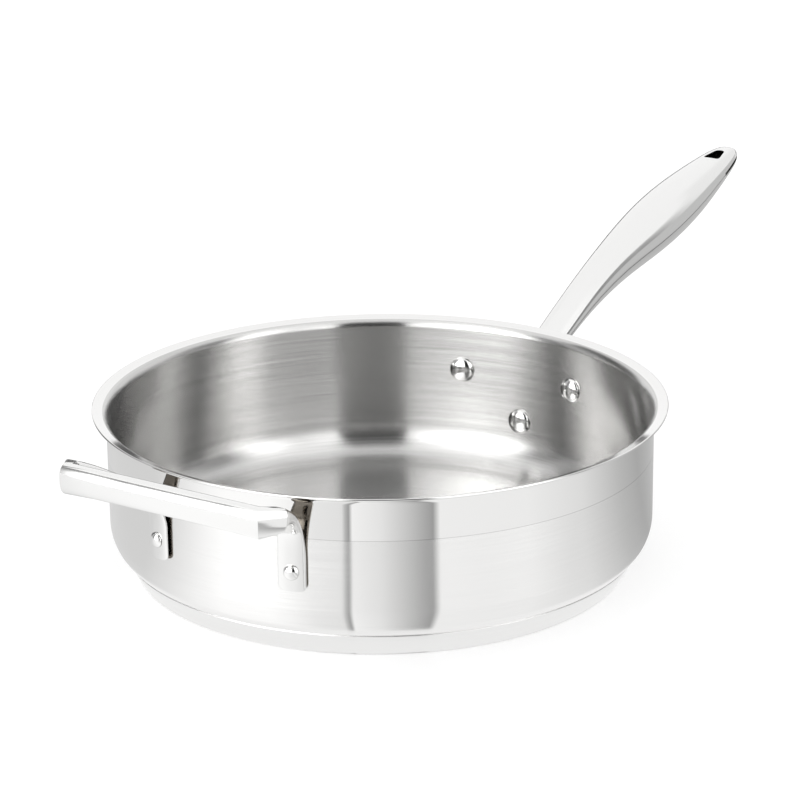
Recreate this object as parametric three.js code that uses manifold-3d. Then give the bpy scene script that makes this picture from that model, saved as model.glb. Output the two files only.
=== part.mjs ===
// Saute pan: drawn steel body, capsule base, hollow long handle and a bar helper handle, all riveted.
// Millimetres, +Z up. The origin is the middle of the base's underside and +X runs along the long handle.
import * as THREE from 'three';
import { mergeVertices } from 'three/addons/utils/BufferGeometryUtils.js';
import Module from 'manifold-3d';

const wasm = await Module();
wasm.setup();

// Pan body, drawn from one sheet
const BODY_RADIUS = 141;
const BODY_HEIGHT = 88.5;
const BODY_SHEET = 1.2;
const CORNER_RADIUS = 20.8;
const LIP_OVERHANG = 7.2;
const LIP_BEND_RADIUS = 3;
const LIP_SLOPE = 17;

// Capsule base: an aluminium core pressed between the body and a steel cap
const CORE_THICKNESS = 6.2;
const CAP_SHEET = 0.9;
const CAP_RIM_HEIGHT = 12.5;
const CAP_SIDE_LEAN = 29;
const CAP_BEND_RADIUS = 2.5;

// Long handle: places are out from the wall and up from the upper rivets
const GRIP_ROOT = { out: 0, up: -3.2, width: 18, depth: 7.5 };
const GRIP_NECK = { out: 39, up: 17, width: 20.5, depth: 8.5 };
const GRIP_RISE = { out: 69, up: 30, width: 22, depth: 12.5 };
const GRIP_BEND = { out: 99, up: 40, width: 26, depth: 16.5 };
const GRIP_SWELL = { out: 129, up: 47.5, width: 32, depth: 20 };
const GRIP_PALM = { out: 159, up: 55, width: 34.5, depth: 22 };
const GRIP_HEEL = { out: 189, up: 62.5, width: 32, depth: 20 };
const GRIP_TAPER = { out: 219, up: 70.5, width: 25, depth: 14 };
const GRIP_TIP = { out: 244, up: 79, width: 15, depth: 9 };
const GRIP_SHEET = 1.4;
const GRIP_FULLNESS = 2.7;
const GRIP_TIP_ROUND = 9;
const GRIP_START = 11;
const GRIP_HOLLOW_END = 200;
const EYE_START = 221;
const EYE_LENGTH = 14;
const EYE_WIDTH = 10.5;
const EYE_NARROW = 5;
const EYE_ROUND = 2;

// Long handle bracket and its rivets
const BRACKET_THICKNESS = 2.5;
const LOBE_RADIUS = 10.5;
const BRACKET_HOLLOW = 4;
const NECK_WIDTH = 32;
const NECK_HEIGHT = 24;
const TONGUE_LENGTH = 32;
const GRIP_RIVET_DROP = 28.3;
const GRIP_RIVET_SPAN = 70.6;
const LOW_RIVET_RISE = 6;
const GRIP_HEAD = { diameter: 14.2, height: 3.4 };
const GRIP_TAIL = { diameter: 9.5, height: 1.8 };

// Helper handle: a tube bar whose flattened ends bend back and down onto the wall
const BAR_REACH = 42.5;
const BAR_RISE = 2.9;
const BAR_LENGTH = 111;
const BAR_HEIGHT = 14.5;
const BAR_DEPTH = 9.8;
const BAR_FULLNESS = 4.5;
const ELBOW_FACET = 9;
const ELBOW_TURN = 115;
const ELBOW_HEIGHT = 11.5;
const ELBOW_DIP = 24;
const STRAP_DROP = 35.4;
const LUG_WIDTH = 14.2;
const LUG_THICKNESS = 2.8;
const LUG_TAIL = 9.8;
const LUG_CORNER = 4;
const HELPER_RIVET_DROP = 40.5;
const HELPER_RIVET_SPAN = 79;
const HELPER_HEAD = { diameter: 8, height: 2.4 };
const HELPER_TAIL = { diameter: 10.5, height: 2.4 };

// Fits and fineness
const SHANK_DIAMETER = 5;
const FIT_GAP = 0.3;
const PAN_SIDES = 72;
const RIVET_SIDES = 16;
const GRIP_SIDES = 24;
const BAR_SIDES = 16;
const BEND_STEPS = 6;
const LIP_STEPS = 4;
const EDGE_STEPS = 3;
const GRIP_ROWS = 22;
const TIP_ROWS = 6;
const HOLLOW_ROWS = 20;
const EYE_STEPS = 4;
const LOBE_STEPS = 8;
const NECK_ROWS = 5;
const TONGUE_ROWS = 8;
const DOME_STEPS = 4;
const STRAP_ROWS = 7;
const LUG_ROWS = 4;
const HALVINGS = 40;
const MERGE_DISTANCE = 1e-4;

const radians = THREE.MathUtils.degToRad;

// Shared places
const floorUnder = CAP_SHEET + FIT_GAP + CORE_THICKNESS + FIT_GAP;
const cornerCentre = new THREE.Vector2(BODY_RADIUS - CORNER_RADIUS, floorUnder + CORNER_RADIUS);
const innerRadius = BODY_RADIUS - BODY_SHEET;
const bracketInner = BODY_RADIUS + FIT_GAP;
const bracketOuter = bracketInner + BRACKET_THICKNESS;
const gripRivetZ = BODY_HEIGHT - GRIP_RIVET_DROP;
const lowRivetZ = cornerCentre.y + LOW_RIVET_RISE;
const helperRivetZ = BODY_HEIGHT - HELPER_RIVET_DROP;
const gripRivetTurn = Math.asin(GRIP_RIVET_SPAN / 2 / BODY_RADIUS);
const helperRivetTurn = Math.asin(HELPER_RIVET_SPAN / 2 / BODY_RADIUS);
const holeRadius = SHANK_DIAMETER / 2 + FIT_GAP;

const steel = { color: 0xd9dadb, metalness: 1 };

function toSolid(geometry) {
  const bare = new THREE.BufferGeometry();
  bare.setAttribute('position', geometry.attributes.position);
  bare.setIndex(geometry.index);
  const merged = mergeVertices(bare, MERGE_DISTANCE);
  const index = merged.index.array;
  const kept = [];
  for (let i = 0; i < index.length; i += 3) {
    const [a, b, c] = index.slice(i, i + 3);
    if (a !== b && b !== c && c !== a) kept.push(a, b, c);
  }
  const vertProperties = new Float32Array(merged.attributes.position.array);
  const triVerts = new Uint32Array(kept);
  return new wasm.Manifold(new wasm.Mesh({ numProp: 3, vertProperties, triVerts }));
}

function toMesh(name, solid, finish) {
  const { vertProperties, triVerts } = solid.getMesh();
  const geometry = new THREE.BufferGeometry();
  geometry.setAttribute('position', new THREE.BufferAttribute(vertProperties, 3));
  geometry.setIndex(new THREE.BufferAttribute(triVerts, 1));
  geometry.computeVertexNormals();
  const mesh = new THREE.Mesh(geometry, new THREE.MeshStandardMaterial(finish));
  mesh.name = name;
  return mesh;
}

function arc(centre, radius, from, to, steps) {
  const points = [];
  for (let i = 0; i <= steps; i += 1) {
    const angle = radians(from + ((to - from) * i) / steps);
    const spoke = new THREE.Vector2(Math.cos(angle), Math.sin(angle));
    points.push(spoke.multiplyScalar(radius).add(centre));
  }
  return points;
}

// Revolves a profile of (radius, height) points about Z
function turned(profile, sides) {
  return toSolid(new THREE.LatheGeometry(profile, sides).rotateX(Math.PI / 2));
}

// Skins a row of equal rings and closes both ends with fans
function lofted(rings) {
  const count = rings[0].length;
  const positions = [];
  const index = [];
  for (const ring of rings) {
    for (const point of ring) positions.push(point.x, point.y, point.z);
  }
  for (let row = 0; row + 1 < rings.length; row += 1) {
    for (let i = 0; i < count; i += 1) {
      const a = row * count + i;
      const b = row * count + ((i + 1) % count);
      index.push(a, b, b + count, a, b + count, a + count);
    }
  }
  for (const [row, flip] of [[0, true], [rings.length - 1, false]]) {
    const middle = positions.length / 3;
    const centre = new THREE.Vector3();
    for (const point of rings[row]) centre.addScaledVector(point, 1 / count);
    positions.push(centre.x, centre.y, centre.z);
    for (let i = 0; i < count; i += 1) {
      const a = row * count + i;
      const b = row * count + ((i + 1) % count);
      index.push(...(flip ? [middle, b, a] : [middle, a, b]));
    }
  }
  const geometry = new THREE.BufferGeometry();
  geometry.setAttribute('position', new THREE.Float32BufferAttribute(positions, 3));
  geometry.setIndex(index);
  return toSolid(geometry);
}

// Point of a rounded rectangle; a higher fullness squares its corners
function roundedPoint(angle, fullness) {
  const soften = (value) => Math.sign(value) * Math.abs(value) ** (2 / fullness);
  return new THREE.Vector2(soften(Math.cos(angle)), soften(Math.sin(angle)));
}

// Turns a piece made along +X to a bearing round the pan, at a height
function placed(solid, turn, height) {
  return solid.rotate([0, 0, THREE.MathUtils.radToDeg(turn)]).translate([0, 0, height]);
}

// Cylinder along +X that clears a rivet's shank through everything it joins
function rivetHole() {
  const length = 4 * CORNER_RADIUS;
  const bore = new THREE.CylinderGeometry(holeRadius, holeRadius, length, RIVET_SIDES);
  return toSolid(bore.rotateZ(Math.PI / 2).translate(BODY_RADIUS, 0, 0));
}

const gripRivets = {
  left: { turn: gripRivetTurn, height: gripRivetZ },
  right: { turn: -gripRivetTurn, height: gripRivetZ },
  bottom: { turn: 0, height: lowRivetZ },
};
const helperRivets = {
  left: { turn: Math.PI + helperRivetTurn, height: helperRivetZ },
  right: { turn: Math.PI - helperRivetTurn, height: helperRivetZ },
};

function holesFor(rivets) {
  return Object.values(rivets).map(({ turn, height }) => placed(rivetHole(), turn, height));
}

const gripHoles = holesFor(gripRivets);
const helperHoles = holesFor(helperRivets);

function panBody() {
  const lipTurn = radians(LIP_SLOPE);
  const middle = LIP_BEND_RADIUS + BODY_SHEET / 2;
  const bendDrop = middle * Math.cos(lipTurn);
  const flat = (LIP_OVERHANG - middle + middle * Math.sin(lipTurn)) / Math.cos(lipTurn);
  const edgeX = BODY_RADIUS + LIP_OVERHANG - BODY_SHEET / 2;
  const edge = new THREE.Vector2(edgeX, BODY_HEIGHT - BODY_SHEET / 2);
  const bendZ = edge.y - bendDrop - flat * Math.sin(lipTurn);
  const bend = new THREE.Vector2(BODY_RADIUS + LIP_BEND_RADIUS, bendZ);
  const profile = [
    new THREE.Vector2(0, floorUnder),
    ...arc(cornerCentre, CORNER_RADIUS, -90, 0, BEND_STEPS),
    ...arc(bend, LIP_BEND_RADIUS, 180, 90 + LIP_SLOPE, LIP_STEPS),
    ...arc(edge, BODY_SHEET / 2, LIP_SLOPE - 90, LIP_SLOPE + 90, EDGE_STEPS),
    ...arc(bend, LIP_BEND_RADIUS + BODY_SHEET, 90 + LIP_SLOPE, 180, LIP_STEPS),
    ...arc(cornerCentre, CORNER_RADIUS - BODY_SHEET, 0, -90, BEND_STEPS),
    new THREE.Vector2(0, floorUnder + BODY_SHEET),
  ];
  let solid = turned(profile, PAN_SIDES);
  for (const hole of [...gripHoles, ...helperHoles]) solid = solid.subtract(hole);
  return solid;
}

// Where a line from a point meets the body's corner bend, one fit gap away from it
function meetCorner(point, direction) {
  const from = point.clone().sub(cornerCentre);
  const along = from.dot(direction);
  const reach = CORNER_RADIUS + FIT_GAP;
  const distance = -along - Math.sqrt(along * along - from.lengthSq() + reach * reach);
  return point.clone().addScaledVector(direction, distance);
}

const capRimDrop = cornerCentre.y - CAP_RIM_HEIGHT;
const capRimRadius = cornerCentre.x + Math.sqrt((CORNER_RADIUS + FIT_GAP) ** 2 - capRimDrop ** 2);
const capFootRadius = capRimRadius - CAP_RIM_HEIGHT * Math.tan(radians(CAP_SIDE_LEAN));
const capBendReach = CAP_BEND_RADIUS * Math.tan(radians(90 - CAP_SIDE_LEAN) / 2);
const capBend = new THREE.Vector2(capFootRadius - capBendReach, CAP_BEND_RADIUS);

function baseCap() {
  const sideUp = new THREE.Vector2(Math.sin(radians(CAP_SIDE_LEAN)), Math.cos(radians(CAP_SIDE_LEAN)));
  const innerBend = arc(capBend, CAP_BEND_RADIUS - CAP_SHEET, -CAP_SIDE_LEAN, -90, EDGE_STEPS);
  const profile = [
    new THREE.Vector2(0, 0),
    ...arc(capBend, CAP_BEND_RADIUS, -90, -CAP_SIDE_LEAN, EDGE_STEPS),
    new THREE.Vector2(capRimRadius, CAP_RIM_HEIGHT),
    meetCorner(innerBend[0], sideUp),
    ...innerBend,
    new THREE.Vector2(0, CAP_SHEET),
  ];
  return turned(profile, PAN_SIDES);
}

function baseCore() {
  const bottom = CAP_SHEET + FIT_GAP;
  const top = floorUnder - FIT_GAP;
  const radius = Math.min(capBend.x, cornerCentre.x);
  const edge = CORE_THICKNESS / 4;
  const profile = [
    new THREE.Vector2(0, bottom),
    ...arc(new THREE.Vector2(radius - edge, bottom + edge), edge, -90, 0, 1),
    ...arc(new THREE.Vector2(radius - edge, top - edge), edge, 0, 90, 1),
    new THREE.Vector2(0, top),
  ];
  return turned(profile, PAN_SIDES);
}

// Long handle's middle line and girth, as smooth curves through its stations
const gripStations = [
  GRIP_ROOT,
  GRIP_NECK,
  GRIP_RISE,
  GRIP_BEND,
  GRIP_SWELL,
  GRIP_PALM,
  GRIP_HEEL,
  GRIP_TAPER,
  GRIP_TIP,
];
const gripSpine = new THREE.CatmullRomCurve3(
  gripStations.map(({ out, up }) => new THREE.Vector3(BODY_RADIUS + out, 0, gripRivetZ + up)),
  false,
  'catmullrom',
);
const gripGirth = new THREE.CatmullRomCurve3(
  gripStations.map(({ width, depth }) => new THREE.Vector3(width, depth, 0)),
  false,
  'catmullrom',
);
const gripTip = gripSpine.getPoint(1).x;

// Share of the spine's run at a distance out from the wall, found by halving
function spineShare(out) {
  let low = 0;
  let high = 1;
  for (let i = 0; i < HALVINGS; i += 1) {
    const middle = (low + high) / 2;
    if (gripSpine.getPoint(middle).x < BODY_RADIUS + out) low = middle;
    else high = middle;
  }
  return (low + high) / 2;
}

// Sections of the handle between two places out from the wall, shrunk all round by an inset
function gripRings(from, to, steps, inset, angles) {
  const rings = [];
  const first = spineShare(from);
  const last = spineShare(to);
  for (let row = 0; row <= steps; row += 1) {
    const share = first + ((last - first) * row) / steps;
    const centre = gripSpine.getPoint(share);
    const tangent = gripSpine.getTangent(share);
    const up = new THREE.Vector3(-tangent.z, 0, tangent.x);
    const girth = gripGirth.getPoint(share);
    const toTip = Math.min(1, Math.max(0, (gripTip - centre.x) / GRIP_TIP_ROUND));
    const round = Math.sqrt(toTip * (2 - toTip));
    const halfWidth = Math.max((girth.x / 2) * round, GRIP_SHEET / 2) - inset;
    const halfDepth = Math.max((girth.y / 2) * Math.sqrt(round), GRIP_SHEET / 2) - inset;
    rings.push(angles.map((angle) => {
      const corner = roundedPoint(angle, GRIP_FULLNESS);
      const point = centre.clone().addScaledVector(up, corner.y * halfDepth);
      point.y += corner.x * halfWidth;
      return point;
    }));
  }
  return rings;
}

// Even steps from one value to another, both ends included
function spread(from, to, steps) {
  return Array.from({ length: steps + 1 }, (_, i) => from + ((to - from) * i) / steps);
}

const wholeRound = spread(0, 2 * Math.PI, GRIP_SIDES).slice(0, -1);
const barRound = spread(0, 2 * Math.PI, BAR_SIDES).slice(0, -1);

// Hanging eye: an opening that narrows toward the tip, cut straight down
function eyeCut() {
  const start = BODY_RADIUS + EYE_START + EYE_ROUND;
  const end = BODY_RADIUS + EYE_START + EYE_LENGTH - EYE_ROUND;
  const wide = EYE_WIDTH / 2 - EYE_ROUND;
  const narrow = EYE_NARROW / 2 - EYE_ROUND;
  const outline = new THREE.Shape();
  outline.absarc(start, -wide, EYE_ROUND, -Math.PI, -Math.PI / 2, false);
  outline.absarc(end, -narrow, EYE_ROUND, -Math.PI / 2, 0, false);
  outline.absarc(end, narrow, EYE_ROUND, 0, Math.PI / 2, false);
  outline.absarc(start, wide, EYE_ROUND, Math.PI / 2, Math.PI, false);
  const depth = 4 * EYE_LENGTH;
  const height = gripSpine.getPoint(spineShare(EYE_START)).z;
  const cut = new THREE.ExtrudeGeometry(outline, { depth, bevelEnabled: false, curveSegments: EYE_STEPS });
  return toSolid(cut.translate(0, 0, height - depth / 2));
}

function gripShell(side) {
  const tip = gripTip - BODY_RADIUS;
  const firstAngle = side > 0 ? 0 : Math.PI;
  const half = spread(firstAngle, firstAngle + Math.PI, GRIP_SIDES / 2);
  const main = gripRings(GRIP_START, tip - GRIP_TIP_ROUND, GRIP_ROWS, 0, half);
  const end = gripRings(tip - GRIP_TIP_ROUND, tip, TIP_ROWS, 0, half);
  const rings = [...main, ...end.slice(1)];
  const lift = (side * FIT_GAP) / 2;
  for (const point of rings.flat()) point.z += lift;
  const hollowStart = GRIP_START - GRIP_SHEET;
  const hollow = gripRings(hollowStart, GRIP_HOLLOW_END, HOLLOW_ROWS, GRIP_SHEET, wholeRound);
  return lofted(rings).subtract(lofted(hollow)).subtract(eyeCut());
}

// Three-lobed plate bent to the wall, with a flared neck and a tongue inside the handle
function gripBracket() {
  const side = GRIP_RIVET_SPAN / 2;
  const outline = new THREE.Shape();
  const lobes = [[-side, gripRivetZ], [0, lowRivetZ], [side, gripRivetZ]];
  const lean = Math.atan2(gripRivetZ - lowRivetZ, side) + Math.PI / 2;
  const middle = new THREE.Vector2(0, (2 * gripRivetZ + lowRivetZ) / 3);
  const hollowTo = (x, y, angle, fromX, fromY) => {
    const target = new THREE.Vector2(Math.cos(angle), Math.sin(angle)).multiplyScalar(LOBE_RADIUS);
    target.add(new THREE.Vector2(x, y));
    const between = new THREE.Vector2((fromX + target.x) / 2, (fromY + target.y) / 2);
    between.addScaledVector(middle.clone().sub(between).normalize(), BRACKET_HOLLOW);
    outline.quadraticCurveTo(between.x, between.y, target.x, target.y);
  };
  outline.absarc(lobes[0][0], lobes[0][1], LOBE_RADIUS, Math.PI / 2, Math.PI * 2 - lean, false);
  hollowTo(...lobes[1], Math.PI * 2 - lean, outline.currentPoint.x, outline.currentPoint.y);
  outline.absarc(lobes[1][0], lobes[1][1], LOBE_RADIUS, Math.PI * 2 - lean, Math.PI + lean, false);
  hollowTo(...lobes[2], Math.PI + lean, outline.currentPoint.x, outline.currentPoint.y);
  outline.absarc(lobes[2][0], lobes[2][1], LOBE_RADIUS, lean - Math.PI, Math.PI / 2, false);
  hollowTo(...lobes[0], Math.PI / 2, outline.currentPoint.x, outline.currentPoint.y);
  const slab = new THREE.ExtrudeGeometry(outline, {
    depth: bracketOuter,
    bevelEnabled: false,
    curveSegments: LOBE_STEPS,
  });
  const toSide = new THREE.Matrix4().makeBasis(
    new THREE.Vector3(0, 1, 0),
    new THREE.Vector3(0, 0, 1),
    new THREE.Vector3(1, 0, 0),
  );
  const low = lowRivetZ - 2 * LOBE_RADIUS;
  const high = gripRivetZ + 2 * LOBE_RADIUS;
  const ring = turned([
    new THREE.Vector2(bracketInner, low),
    new THREE.Vector2(bracketOuter, low),
    new THREE.Vector2(bracketOuter, high),
    new THREE.Vector2(bracketInner, high),
    new THREE.Vector2(bracketInner, low),
  ], 2 * PAN_SIDES);
  const plate = ring.intersect(toSolid(slab.applyMatrix4(toSide)));
  const [shoulder] = gripRings(GRIP_START - FIT_GAP, GRIP_START, 1, 0, wholeRound);
  const root = gripSpine.getPoint(0);
  const rootX = bracketInner + BRACKET_THICKNESS / 2;
  const neckRings = spread(0, 1, NECK_ROWS).map((share) => shoulder.map((point, i) => {
    const corner = roundedPoint(wholeRound[i], GRIP_FULLNESS);
    const rise = corner.y * (NECK_HEIGHT / 2);
    const wide = new THREE.Vector3(rootX, corner.x * (NECK_WIDTH / 2), root.z + rise);
    const eased = (1 - share) ** 2;
    const flared = point.clone().lerp(wide, eased);
    flared.x = THREE.MathUtils.lerp(rootX, point.x, share);
    return flared;
  }));
  const tongueInset = GRIP_SHEET + FIT_GAP;
  const tongueEnd = GRIP_START + TONGUE_LENGTH;
  const tongue = gripRings(GRIP_START / 2, tongueEnd, TONGUE_ROWS, tongueInset, wholeRound);
  let solid = plate.add(lofted(neckRings)).add(lofted(tongue));
  for (const hole of gripHoles) solid = solid.subtract(hole);
  return solid;
}

// Rivet along +X with a domed head at each end of its shank
function rivet(innerHead, outerHead, outerSeat) {
  const headRadius = innerHead.diameter / 2;
  const facet = Math.cos(Math.PI / PAN_SIDES);
  const innerSeat = Math.sqrt(innerRadius ** 2 - headRadius ** 2) * facet - FIT_GAP;
  const dome = (head, seat, sign) => {
    const points = [];
    for (const angle of spread(0, Math.PI / 2, DOME_STEPS)) {
      const along = seat + sign * head.height * Math.cos(angle);
      points.push(new THREE.Vector2((head.diameter / 2) * Math.sin(angle), along));
    }
    return points;
  };
  const profile = [
    ...dome(innerHead, innerSeat, -1),
    new THREE.Vector2(SHANK_DIAMETER / 2, innerSeat),
    new THREE.Vector2(SHANK_DIAMETER / 2, outerSeat),
    ...dome(outerHead, outerSeat, 1).reverse(),
  ];
  return turned(profile, RIVET_SIDES).rotate([0, 90, 0]);
}

// Half of the helper handle, from the middle of the bar to the end of a lug, as sections along its path
function helperStations() {
  const barX = BODY_RADIUS + BAR_REACH;
  const barZ = BODY_HEIGHT + BAR_RISE;
  const half = BAR_LENGTH / 2;
  const bar = { z: barZ, dip: 0, across: BAR_DEPTH, thick: BAR_HEIGHT };
  const stations = [{ ...bar, x: barX, y: 0, heading: 90 }];

  const creaseTurn = ELBOW_TURN / 2;
  const facetTurn = radians(90 + creaseTurn);
  const mitred = BAR_DEPTH / Math.cos(radians(creaseTurn / 2));
  const elbow = {
    x: barX + ELBOW_FACET * Math.cos(facetTurn),
    y: half + ELBOW_FACET * Math.sin(facetTurn),
    z: barZ,
    heading: 90 + (3 * creaseTurn) / 2,
    dip: ELBOW_DIP / 2,
    across: mitred,
    thick: ELBOW_HEIGHT,
  };
  stations.push({ ...bar, x: barX, y: half, heading: 90 + creaseTurn / 2, across: mitred });
  stations.push(elbow);

  const lugRadius = BODY_RADIUS + FIT_GAP + LUG_THICKNESS / 2;
  const lug = {
    x: lugRadius * Math.cos(helperRivetTurn),
    y: lugRadius * Math.sin(helperRivetTurn),
    heading: 180 + THREE.MathUtils.radToDeg(helperRivetTurn),
    dip: 90,
    across: LUG_WIDTH,
    thick: LUG_THICKNESS,
  };
  const strapEnd = barZ - STRAP_DROP;
  const firstLeft = 1 - Math.sin(radians(ELBOW_DIP));
  const strapRise = STRAP_DROP / Math.cos(radians(ELBOW_DIP));
  for (const share of spread(0, 1, STRAP_ROWS).slice(1)) {
    const dip = THREE.MathUtils.lerp(ELBOW_DIP, lug.dip, share);
    const left = (1 - Math.sin(radians(dip))) / firstLeft;
    stations.push({
      x: THREE.MathUtils.lerp(lug.x, elbow.x, left),
      y: THREE.MathUtils.lerp(lug.y, elbow.y, left),
      z: strapEnd + strapRise * Math.cos(radians(dip)),
      heading: THREE.MathUtils.lerp(90 + ELBOW_TURN, lug.heading, share),
      dip,
      across: THREE.MathUtils.lerp(BAR_DEPTH, LUG_WIDTH, share),
      thick: THREE.MathUtils.lerp(ELBOW_HEIGHT, LUG_THICKNESS, 1 - (1 - share) ** 3),
    });
  }

  const tail = helperRivetZ - LUG_TAIL + LUG_CORNER;
  for (const turn of spread(0, Math.PI / 2, LUG_ROWS)) {
    const across = LUG_WIDTH - 2 * LUG_CORNER * (1 - Math.cos(turn));
    stations.push({ ...lug, z: tail - LUG_CORNER * Math.sin(turn), across });
  }
  return stations;
}

// One section: a rounded rectangle square to the path, its across side always level
function helperRing({ x, y, z, heading, dip, across, thick }) {
  const plan = radians(heading);
  const drop = radians(dip);
  const level = new THREE.Vector3(-Math.sin(plan), Math.cos(plan), 0);
  const ahead = new THREE.Vector3(Math.cos(plan), Math.sin(plan), 0);
  const rising = new THREE.Vector3(0, 0, Math.cos(drop)).addScaledVector(ahead, Math.sin(drop));
  return barRound.map((angle) => {
    const corner = roundedPoint(angle, BAR_FULLNESS);
    const point = new THREE.Vector3(x, y, z).addScaledVector(level, corner.x * (across / 2));
    return point.addScaledVector(rising, corner.y * (thick / 2));
  });
}

function helperHandle() {
  const half = helperStations().map(helperRing);
  const flip = new THREE.Vector3(1, -1, 1);
  const mirrored = half.slice(1).map((ring) => ring.map((point) => point.clone().multiply(flip)));
  let solid = lofted([...mirrored.reverse(), ...half]).rotate([0, 0, 180]);
  for (const hole of helperHoles) solid = solid.subtract(hole);
  return solid;
}

const pan = new THREE.Group();
pan.add(toMesh('pan_body', panBody(), { ...steel, roughness: 0.3 }));
pan.add(toMesh('base_core', baseCore(), { color: 0xb9bbbd, metalness: 1, roughness: 0.5 }));
pan.add(toMesh('base_cap', baseCap(), { ...steel, roughness: 0.35 }));
pan.add(toMesh('long_handle_upper_shell', gripShell(1), { ...steel, roughness: 0.15 }));
pan.add(toMesh('long_handle_lower_shell', gripShell(-1), { ...steel, roughness: 0.15 }));
pan.add(toMesh('long_handle_bracket', gripBracket(), { ...steel, roughness: 0.25 }));
for (const [side, { turn, height }] of Object.entries(gripRivets)) {
  const solid = placed(rivet(GRIP_HEAD, GRIP_TAIL, bracketOuter + FIT_GAP), turn, height);
  pan.add(toMesh(`long_handle_rivet_${side}`, solid, { ...steel, roughness: 0.12 }));
}
pan.add(toMesh('helper_handle', helperHandle(), { ...steel, roughness: 0.12 }));
for (const [side, { turn, height }] of Object.entries(helperRivets)) {
  const outerSeat = BODY_RADIUS + FIT_GAP + LUG_THICKNESS + FIT_GAP;
  const solid = placed(rivet(HELPER_TAIL, HELPER_HEAD, outerSeat), turn, height);
  pan.add(toMesh(`helper_rivet_${side}`, solid, { ...steel, roughness: 0.12 }));
}

export default pan;
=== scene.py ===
import bpy
import math
from mathutils import Matrix, Vector


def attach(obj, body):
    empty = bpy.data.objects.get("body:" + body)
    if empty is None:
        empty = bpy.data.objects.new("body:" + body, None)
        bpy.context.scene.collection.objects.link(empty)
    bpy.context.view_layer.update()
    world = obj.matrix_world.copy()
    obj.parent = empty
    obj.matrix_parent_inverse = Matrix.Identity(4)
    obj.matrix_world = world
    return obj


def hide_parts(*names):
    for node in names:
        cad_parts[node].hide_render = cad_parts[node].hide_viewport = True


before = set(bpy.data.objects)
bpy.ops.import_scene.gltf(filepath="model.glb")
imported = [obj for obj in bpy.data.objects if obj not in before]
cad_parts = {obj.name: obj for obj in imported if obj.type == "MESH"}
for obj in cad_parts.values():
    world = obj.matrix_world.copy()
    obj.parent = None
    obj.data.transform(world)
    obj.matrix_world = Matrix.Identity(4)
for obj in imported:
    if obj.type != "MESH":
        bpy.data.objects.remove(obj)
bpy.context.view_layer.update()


# Pan body: one sheet of stainless steel, drawn to a flat floor and a straight wall, its rim turned out
# to a lip. Inside and on the lower wall it is brushed round and round to a satin; the upper wall outside
# and the lip are polished.
WALL_RADIUS = 0.141
WALL_SHEET = 0.0012
FLOOR_UNDERSIDE = 0.0077
CORNER_BEND = 0.0208
LIP_EDGE_RADIUS = 0.14835
LIP_EDGE_HEIGHT = 0.0875
LIP_FOOT_HEIGHT = 0.08525
LIP_BEND_REACH = 0.0022
LIP_BEND_STEPS = 8
CORNER_BEND_STEPS = 20
FLOOR_RINGS = (0.09, 0.04, 0.004)
RIM_ROUND = 0.00055
RIM_ROUND_STEPS = 4
SHARP_EDGE = math.radians(50)
POLISH_LINE = 0.0647
LIP_BEND_START = 0.0838
LIP_POLISH = 0.1428
PAN_SIDES = 256
SAME_PLACE = 1e-5
TOUCHING = 1e-6
# The inside's darker steel colour is painted shade for the pan's hollow.
SHADED_INSIDE_STEEL = (0.63, 0.627, 0.62, 1)
OUTSIDE_STEEL = (0.81, 0.807, 0.8, 1)
HAIRLINE_HALF = 0.0002
HAIRLINE_FADE = 0.22
FINE_BRUSH = (3600, 5)
BROAD_BRUSH = (1100, 1.3)
SCRATCH_DETAIL = 3.0
SCRATCH_SPAN = (0.3, 0.7)
TWO_SCRATCH_SPAN = (0.7, 1.3)
FLOOR_SATIN = (0.21, 0.25)
WALL_SATIN = (0.21, 0.25)
OUTER_SATIN = (0.14, 0.165)
MIRROR_POLISH = (0.05, 0.07)
INNER_GRAIN = (0.92, 1.05)
OUTER_GRAIN = (0.98, 1.01)
GLINT_STRETCH = 1.0
QUARTER_TURN = 0.25


def new_piece(name):
    """The primitive just added, named, with its place put into its mesh."""
    piece = bpy.context.object
    piece.name = name
    piece.data.name = name
    bpy.ops.object.transform_apply(location=True, rotation=True, scale=True)
    return piece


def pick(piece, wanted):
    """In edit mode, selects the points that pass the test and the edges and faces between them."""
    bpy.ops.object.mode_set(mode="EDIT")
    bpy.ops.mesh.select_mode(type="VERT")
    bpy.ops.mesh.select_all(action="DESELECT")
    bpy.ops.object.mode_set(mode="OBJECT")
    for vertex in piece.data.vertices:
        vertex.select = wanted(vertex.co)
    bpy.ops.object.mode_set(mode="EDIT")


def turn_up(name, sides, rings, closed=False):
    """A shape turned about Z: a circle at the first radius and height, extruded ring by ring."""
    bpy.ops.object.select_all(action="DESELECT")
    radius, height = rings[0]
    fill = "NGON" if closed else "NOTHING"
    bpy.ops.mesh.primitive_circle_add(vertices=sides, radius=radius, fill_type=fill, location=(0, 0, height))
    piece = new_piece(name)
    bpy.ops.object.mode_set(mode="EDIT")
    bpy.ops.mesh.select_all(action="SELECT")
    bpy.ops.mesh.select_mode(type="EDGE")
    for next_radius, next_height in rings[1:]:
        bpy.ops.mesh.extrude_edges_move(TRANSFORM_OT_translate={"value": (0, 0, next_height - height)})
        share = next_radius / radius
        bpy.ops.transform.resize(value=(share, share, 1), center_override=(0, 0, 0))
        radius, height = next_radius, next_height
    if rings[-1] != rings[0]:
        bpy.ops.mesh.edge_face_add()
    bpy.ops.mesh.select_all(action="SELECT")
    bpy.ops.mesh.remove_doubles(threshold=TOUCHING)
    bpy.ops.mesh.normals_make_consistent(inside=False)
    bpy.ops.object.mode_set(mode="OBJECT")
    rim = max(piece.data.polygons, key=lambda face: face.center.xy.length)
    if rim.normal.xy.dot(rim.center.xy) < 0:
        bpy.ops.object.mode_set(mode="EDIT")
        bpy.ops.mesh.flip_normals()
        bpy.ops.object.mode_set(mode="OBJECT")
    return piece


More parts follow.
